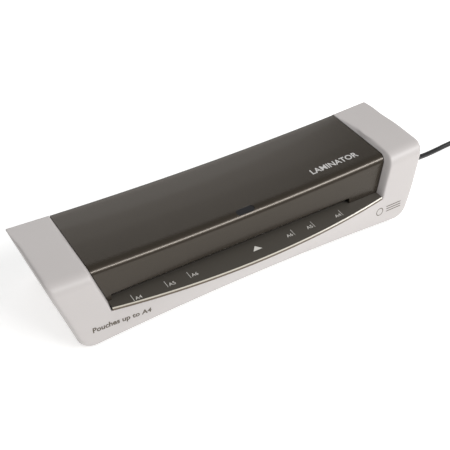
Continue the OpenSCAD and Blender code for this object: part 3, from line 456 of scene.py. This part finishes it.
# one end of the casing: columns run from the bottom of the step wall, up it, over its rounded
# edge, across the face, round the outer edge and in over the end wall
def endFrame(side):
    profile = np.concatenate([np.stack([frontFace(lowRows[:-1]), lowRows[:-1]], 1), shellSide])
    inner = np.concatenate([np.stack([frontFace(lowRows[:-1]), lowRows[:-1]], 1), panelSide])
    front = np.concatenate([np.ones(len(lowRows) - 1, bool), isFront])
    low = len(lowRows) - 1
    depth = np.linalg.norm(profile - inner, axis=1)
    depth[:low] = depth[low]
    normal = outwardNormals(profile)
    brow = np.clip(depth * 0.35, 0.05, 1.1)          # radius of the step wall's upper edge
    draft = 0.22 * depth
    edge = openHalf(profile[:, 1]) + draft
    columns, steps = [], []
    down = (inner - profile)
    reach = np.maximum(np.linalg.norm(down, axis=1), 1e-6)[:, None]
    for t in (1.0, 0.66, 0.33, 0.0):                 # up the step wall
        at = inner + (profile - inner) * (1 - t) * (1 - brow[:, None] / reach)
        columns.append((openHalf(inner[:, 1]) * t + (edge - 0.2 * draft) * (1 - t), at))
    for phi in np.radians([30, 60, 90]):             # over its edge
        at = profile + down / reach * brow[:, None] * (1 - math.sin(phi))
        columns.append((edge + brow * (1 - math.cos(phi)), at))
    wallColumns = len(columns)
    fadeOut = smoothStep((profile[:, 0] - 12) / 26)      # crisper towards the rear
    roundR = shell["edgeRound"] * (1 - fadeOut) + 1.3 * fadeOut
    start = edge + brow
    for f in np.linspace(0, 1, 16)[1:]:              # across the face
        stop = endHalf(profile[:, 1]) - roundR
        columns.append((start + (stop - start) * f, profile))
    for phi in np.radians(np.linspace(0, 90, 8)[1:]):
        at = profile - normal * roundR[:, None] * (1 - math.cos(phi))
        at[:, 1] = np.maximum(at[:, 1], shell["base"])
        columns.append((endHalf(at[:, 1]) - roundR * (1 - math.sin(phi)), at))
    rim = columns[-1][1]
    centre = np.array([4.0, shell["base"]])
    inward = (0.85, 0.7, 0.55, 0.42, 0.32, 0.24, 0.18, 0.131, 0.104, 0.078, 0.056, 0.036, 0.021,
              0.0094, 0.0023, 0)
    for q in inward:                                 # in over the end wall, to the middle of its foot
        at = rim * q + centre * (1 - q)
        columns.append((endHalf(at[:, 1]), at))
    cols = len(columns)
    x = np.stack([c[0] for c in columns], 1)
    y = np.stack([c[1][:, 0] for c in columns], 1)
    z = np.stack([c[1][:, 1] for c in columns], 1)
    frontGrid = np.broadcast_to(front[:, None], x.shape)
    # the lowest rows follow the arched foot
    foot = footAt(x)
    lift = np.where((np.arange(len(profile)) < low)[:, None],
                    (foot - shell["base"]) * (1 - (z - shell["base"]) / (shell["lipTop"] - shell["base"])), 0)
    z = z + lift
    y = y - np.where(frontGrid & (np.arange(cols) < wallColumns + 24)[None, :], bowAt(x, z, foot), 0) \
        * np.where(np.arange(cols) < 4, 0, 1)[None, :]
    z = z - sagAt(x, z, frontGrid)
    points = np.stack([side * x, y, z], 2).reshape(-1, 3)
    # below the lip there is no step wall: those columns belong to the lip's band
    skip = np.zeros((len(profile) - 1, cols - 1), bool)
    skip[:low, :wallColumns - 1] = True
    faces = gridFaces(len(profile), cols, skip=skip, flip=side < 0)
    return points, faces, x[:low + 1, wallColumns - 1]


# the band under the shelf, between the two ends' lower rows, with a ledge at its top
def lipBand(edgeX, columnsAcross=61):
    f = np.linspace(-1, 1, columnsAcross)
    x = edgeX[:, None] * f[None, :]
    foot = footAt(x)
    z = lowRows[:, None] + (foot - shell["base"]) * (1 - (lowRows[:, None] - shell["base"])
                                                     / (shell["lipTop"] - shell["base"]))
    y = frontFace(lowRows)[:, None] - bowAt(x, z, foot)
    x = np.concatenate([x, x[-1:]])
    y = np.concatenate([y, y[-1:] + 5.5])
    z = np.concatenate([z, z[-1:]])
    points = np.stack([x, y, z], 2).reshape(-1, 3)
    return points, gridFaces(len(lowRows) + 1, columnsAcross)


rightPoints, rightFaces, edgeX = endFrame(1)
leftPoints, leftFaces, _ = endFrame(-1)
bandPoints, bandFaces = lipBand(edgeX)
casing = makePiece("whiteCasing", np.concatenate([rightPoints, leftPoints, bandPoints]),
                   np.concatenate([rightFaces, leftFaces + len(rightPoints),
                                   bandFaces + 2 * len(rightPoints)]),
                   whiteAbs, stands=("upper_casing",), angle=40)
work = bmesh.new()
work.from_mesh(casing.data)
loose = [v for v in work.verts if not v.link_faces]
bmesh.ops.delete(work, geom=loose, context="VERTS")
bmesh.ops.remove_doubles(work, verts=work.verts, dist=0.02 * mm)
work.to_mesh(casing.data)
work.free()
thicken(casing, shell["wall"])
settle(casing, 38)

holes = dict(switchWide=17.8, switchHigh=12.4, rearTilt=17.64, leverRoom=0.8, leverLow=38.5, leverHigh=65.0,
             leverFrom=38.0, depth=16.0, leverDepth=40.0)


# opens the casing's wall with a box of the given middle, size and turn about X, all in millimetres
def openWall(piece, middle, size, tilt=0.0):
    mesh = bpy.data.meshes.new("wallCutter")
    work = bmesh.new()
    bmesh.ops.create_cube(work, size=1)
    turn = Matrix.Translation(Vector(middle) * mm) @ Matrix.Rotation(math.radians(tilt), 4, "X")
    bmesh.ops.transform(work, verts=work.verts, matrix=turn @ Matrix.Diagonal((*[v * mm for v in size], 1)))
    work.to_mesh(mesh)
    work.free()
    cutter = bpy.data.objects.new("wallCutter", mesh)
    bpy.context.scene.collection.objects.link(cutter)
    cut = piece.modifiers.new("hole", "BOOLEAN")
    cut.object = cutter
    cut.solver = "EXACT"
    settle(piece, 38)
    bpy.data.objects.remove(cutter)


low, high = [np.array(v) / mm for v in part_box("switch_rocker")]
openWall(casing, (low + high) / 2, (holes["switchWide"], holes["depth"], holes["switchHigh"]),
         holes["rearTilt"])
low, high = [np.array(v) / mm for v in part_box("release_lever")]
leverMiddle = ((low[0] + high[0]) / 2, holes["leverFrom"] + holes["leverDepth"] / 2,
               (holes["leverLow"] + holes["leverHigh"]) / 2)
leverSize = (high[0] - low[0] + 2 * holes["leverRoom"], holes["leverDepth"],
             holes["leverHigh"] - holes["leverLow"])
openWall(casing, leverMiddle, leverSize)
print("casing made:", len(casing.data.polygons), "faces")


panel = dict(gap=0.6, wall=2.0, slotEdge=0.6, windowAt=(0.0, -29.6, 65.35), windowTilt=14.48,
             windowAcross=18.0, windowHigh=6.4)


# panel: its side profile swept across, ending at the rear break; the slot's columns start higher
def panelSheet():
    rear = np.where((panelSide[:, 0] > 40) & (panelSide[:, 1] < 64))[0][0]
    side = panelSide[:rear]
    bottom = np.array([35.8, 37.4, 39.0, slot["top"] + panel["slotEdge"]])
    rest = side[side[:, 1] > slot["top"] + 1.2]
    rows = np.concatenate([np.stack([panelFace(bottom), bottom], 1), rest])
    half = openHalf(rows[:, 1]) - panel["gap"]
    f = np.linspace(-1, 1, 73)
    f = np.sort(np.concatenate([f, [slot["left"] / half[3], slot["right"] / half[3]]]))
    x = half[:, None] * f[None, :]
    x[:4] = half[3] * f[None, :]
    x[:4, 0] = -half[:4]
    x[:4, -1] = half[:4]
    y = np.broadcast_to(rows[:, :1], x.shape)
    z = np.broadcast_to(rows[:, 1:], x.shape)
    front = np.broadcast_to((rows[:, 0] < -20)[:, None], x.shape)
    z = z - sagAt(x, z, front)
    middle = (f[:-1] + f[1:]) / 2 * half[3]
    skip = np.zeros((len(rows) - 1, len(f) - 1), bool)
    skip[:3, (middle > slot["left"]) & (middle < slot["right"])] = True
    points = np.stack([x, y, z], 2).reshape(-1, 3)
    return points, gridFaces(len(rows), len(f), skip=skip)


points, faces = panelSheet()
topPanel = makePiece("bronzePanel", points, faces, bronzeAbs, stands=("top_panel",),
                     angle=40)
work = bmesh.new()
work.from_mesh(topPanel.data)
bmesh.ops.delete(work, geom=[v for v in work.verts if not v.link_faces], context="VERTS")
work.to_mesh(topPanel.data)
work.free()
thicken(topPanel, panel["wall"])
settle(topPanel, 38)
print("panel made:", len(topPanel.data.polygons), "faces")


shelf = dict(bevel=0.95, bevelDrop=0.7, under=32.6, wall=0.7)


# shelf: its flat top out to the arc, a bevel coloured pale as a painted highlight, then its front side
# coloured warm brown as painted shade, and a short return
def shelfSheet():
    half = openHalf(35.5) - 0.15
    xs = np.linspace(-half, half, 97)
    edge = lipArc(xs)
    inner = np.full_like(xs, -35.0)
    rows = [(inner, 35.5)]
    for t in (0.35, 0.7, 1.0):
        rows.append((inner + (edge + shelf["bevel"] - inner) * t, 35.5))
    rows.append((edge, 35.5 - shelf["bevelDrop"]))
    rows.append((edge + 0.15, shelf["under"]))
    rows.append((edge + 6, shelf["under"]))
    x = np.broadcast_to(xs, (len(rows), len(xs)))
    y = np.stack([r[0] for r in rows])
    z = np.stack([np.full_like(xs, r[1]) for r in rows])
    points = np.stack([x, y, z], 2).reshape(-1, 3)
    return points, gridFaces(len(rows), len(xs), flip=True)


points, faces = shelfSheet()
shelfTop = makePiece("pouchShelf", points, faces, shelfAbs, stands=("entry_shelf",),
                     angle=20)
shelfTop.data.materials.append(bevelHighlightPaint)
shelfTop.data.materials.append(edgeShadePaint)
# bevel faces get the painted highlight (material 1), front-side faces get the painted shade (material 2)
belt = np.zeros(len(shelfTop.data.polygons), int)
for k, poly in enumerate(shelfTop.data.polygons):
    normal = poly.normal
    if poly.center.y < -0.03 and 0.2 < normal.z < 0.97:
        belt[k] = 1
    elif poly.center.y < -0.03 and abs(normal.z) < 0.2:
        belt[k] = 2
shelfTop.data.polygons.foreach_set("material_index", belt)
thicken(shelfTop, shelf["wall"])
settle(shelfTop, 20)
print("shelf made")

# the indicator's window: a stadium-shaped hole cut square to the panel's sloping front
def stadiumCutter():
    r = panel["windowHigh"] / 2
    straight = panel["windowAcross"] / 2 - r
    a = np.linspace(-math.pi / 2, math.pi / 2, 17)
    right = np.stack([straight + r * np.cos(a), r * np.sin(a)], 1)
    ring = np.concatenate([right, -right])
    tilt = math.radians(panel["windowTilt"])
    points = []
    for depth in (-6.0, 6.0):
        x, v = ring[:, 0], ring[:, 1]
        points.append(np.stack([x + panel["windowAt"][0],
                                panel["windowAt"][1] + v * math.cos(tilt) - depth * math.sin(tilt),
                                panel["windowAt"][2] + v * math.sin(tilt) + depth * math.cos(tilt)], 1))
    n = len(ring)
    faces = [list(range(n))[::-1], list(range(n, 2 * n))]
    faces += [[k, (k + 1) % n, n + (k + 1) % n, n + k] for k in range(n)]
    mesh = bpy.data.meshes.new("windowCutter")
    mesh.from_pydata((np.concatenate(points) * mm).tolist(), [], faces)
    cutter = bpy.data.objects.new("windowCutter", mesh)
    bpy.context.scene.collection.objects.link(cutter)
    return cutter


cutter = stadiumCutter()
hole = topPanel.modifiers.new("window", "BOOLEAN")
hole.object = cutter
hole.solver = "EXACT"
settle(topPanel, 38)
bpy.data.objects.remove(cutter)
print("window cut")


# a flat print: letters or outlines made mesh, then laid on a surface; lay gives the surface's
# x, y, z for flat places u, v
def layPrint(name, flat, faces, material, lay, slotName):
    flat = np.asarray(flat, float)
    return makePiece(name, lay(flat[:, 0], flat[:, 1]), faces, material, smooth=False)


# words as flat points and faces: scaled so they run from left to right, on a line at base
def wordsMesh(words, left, right, base, tall=None, bold=0.0):
    curve = bpy.data.curves.new("words", "FONT")
    curve.body = words
    curve.resolution_u = 3
    curve.offset = bold
    holder = bpy.data.objects.new("words", curve)
    bpy.context.scene.collection.objects.link(holder)
    graph = bpy.context.evaluated_depsgraph_get()
    mesh = bpy.data.meshes.new_from_object(holder.evaluated_get(graph))
    flat = np.empty(len(mesh.vertices) * 3)
    mesh.vertices.foreach_get("co", flat)
    flat = flat.reshape(-1, 3)[:, :2]
    faces = [list(p.vertices) for p in mesh.polygons]
    bpy.data.objects.remove(holder)
    scale = (right - left) / np.ptp(flat[:, 0])
    rise = scale if tall is None else tall / flat[:, 1].max()
    return np.stack([left + (flat[:, 0] - flat[:, 0].min()) * scale, base + flat[:, 1] * rise], 1), faces


# a flat bar in equal parts, so that it can follow a curve
def boxMesh(x0, x1, v0, v1, parts=1):
    x = np.linspace(x0, x1, parts + 1)
    flat = np.concatenate([np.stack([x, np.full_like(x, v0)], 1), np.stack([x, np.full_like(x, v1)], 1)])
    return flat, [[k, k + 1, parts + 2 + k, parts + 1 + k] for k in range(parts)]


# several flat prints as one
def joinFlat(pieces):
    points, faces, start = [], [], 0
    for flat, quads in pieces:
        points.append(flat)
        faces += [[start + k for k in q] for q in quads]
        start += len(flat)
    return np.concatenate(points), faces


marks = dict(centre=-13.7, halves=dict(A4=105.0, A5=74.0, A6=52.5), near=-51.0, far=-43.0, line=0.38,
             letterWide=6.0, letterBase=-50.6, frontWords="Pouches up to A4", frontLeft=-156.8,
             frontRight=-105.0, frontBase=17.8, topWords="LAMINATOR", topLeft=77.7, topRight=128.7,
             topBase=-20.0, topTall=6.6, frontTall=5.2, frontBold=0.03, topBold=0.02, lift=0.06,
             arrow=[[-4.3, -50.5], [4.8, -50.5], [0.3, -45.0]], ringAt=(135.6, 19.8), ringR=4.2,
             ringLine=0.8, barFrom=143.5, barTo=160.5, barPitch=2.6, barLine=0.9)


# a flat place on the shelf's top, just proud of it
def onShelf(u, v):
    return np.stack([u, v, np.full_like(u, lip["top"] + marks["lift"])], 1)


# a place on the frame's front: the row that the arch lifts to height v, less the bow there
def onFront(u, v):
    foot = footAt(u)
    rise = (foot - shell["base"]) / (shell["lipTop"] - shell["base"])
    row = (v - (foot - shell["base"]) - rise * shell["base"]) / (1 - rise)
    y = frontFace(row) - bowAt(np.abs(u), v, foot)
    return np.stack([u, y - marks["lift"], v], 1)


# a place on the panel's top: its side profile at v, less the sag at u
def onPanel(u, v):
    order = np.argsort(panelSide[:, 0])
    ridge = panelSide[order]
    top = ridge[ridge[:, 1] > 45]
    z = np.interp(v, top[:, 0], top[:, 1])
    return np.stack([u, v, z - sagAt(u, z, v < -20) + marks["lift"]], 1)


shelfPrint = []
for label, half in marks["halves"].items():
    for side in (-1, 1):
        x = marks["centre"] + side * half
        shelfPrint.append(boxMesh(x - marks["line"] / 2, x + marks["line"] / 2, marks["near"], marks["far"]))
        start = x + 1.6 if side < 0 else x - 1.6 - marks["letterWide"]
        shelfPrint.append(wordsMesh(label, start, start + marks["letterWide"], marks["letterBase"]))
shelfPrint.append((np.array(marks["arrow"]), [[0, 1, 2]]))
layPrint("sheetMarks", *joinFlat(shelfPrint), whitePrint, onShelf, "panel_dark")
layPrint("frontWords", *wordsMesh(marks["frontWords"], marks["frontLeft"], marks["frontRight"],
                                  marks["frontBase"], marks["frontTall"], marks["frontBold"]),
         umberPrint, onFront, "casing_white")
layPrint("topWords", *wordsMesh(marks["topWords"], marks["topLeft"], marks["topRight"], marks["topBase"],
                                marks["topTall"], marks["topBold"]), silverPrint, onPanel, "panel_dark")


# a ring with three bars beside it, a plain sign for rollers and a sheet
def ringSign():
    cx, cz = marks["ringAt"]
    a = np.linspace(0, 2 * math.pi, 37)[:-1]
    rings = [np.stack([cx + r * np.cos(a), cz + r * np.sin(a)], 1) 
             for r in (marks["ringR"], marks["ringR"] - marks["ringLine"])]
    n = len(a)
    parts = [(np.concatenate(rings), [[k, n + k, n + (k + 1) % n, (k + 1) % n] for k in range(n)])]
    half = marks["barLine"] / 2
    for shift in (-marks["barPitch"], 0.0, marks["barPitch"]):
        parts.append(boxMesh(marks["barFrom"], marks["barTo"], cz + shift - half, cz + shift + half, 4))
    return joinFlat(parts)


layPrint("frontSign", *ringSign(), umberPrint, onFront, "casing_white")
print("prints laid")

# every CAD piece that shows gets the material its record slot calls for
slotMaterials = dict(casing_white=whiteAbs, casing_grey=greyAbs, panel_dark=rearAbs,
                     window_smoke=smokeAcrylic, guide_clear=clearAcrylic, zinc_steel=zincSteel,
                     ground_steel=groundSteel, silicone_red=siliconeRubber, nylon_ivory=ivoryAcetal,
                     shoe_aluminium=aluminiumSheet, heater_tape=heaterTape, black_plastic=blackNylon,
                     motor_steel=motorCan, spacer_brass=brassBar, board_green=solderMask,
                     board_parts=partsMix, wire_yellow=wireInsulation, foot_rubber=footRubber,
                     cord_pvc=cordPvc, tie_white=whitePrint, pin_nickel=nickelPlate)
slotOf = {part["node"]: part["material_slot"] for part in frame["record"]["subparts"]}
for name, node in frame["nodes"].items():
    if not node.hide_render:
        node.data.materials.clear()
        node.data.materials.append(slotMaterials[slotOf[name]])
print("materials given to", len(slotOf), "CAD pieces")
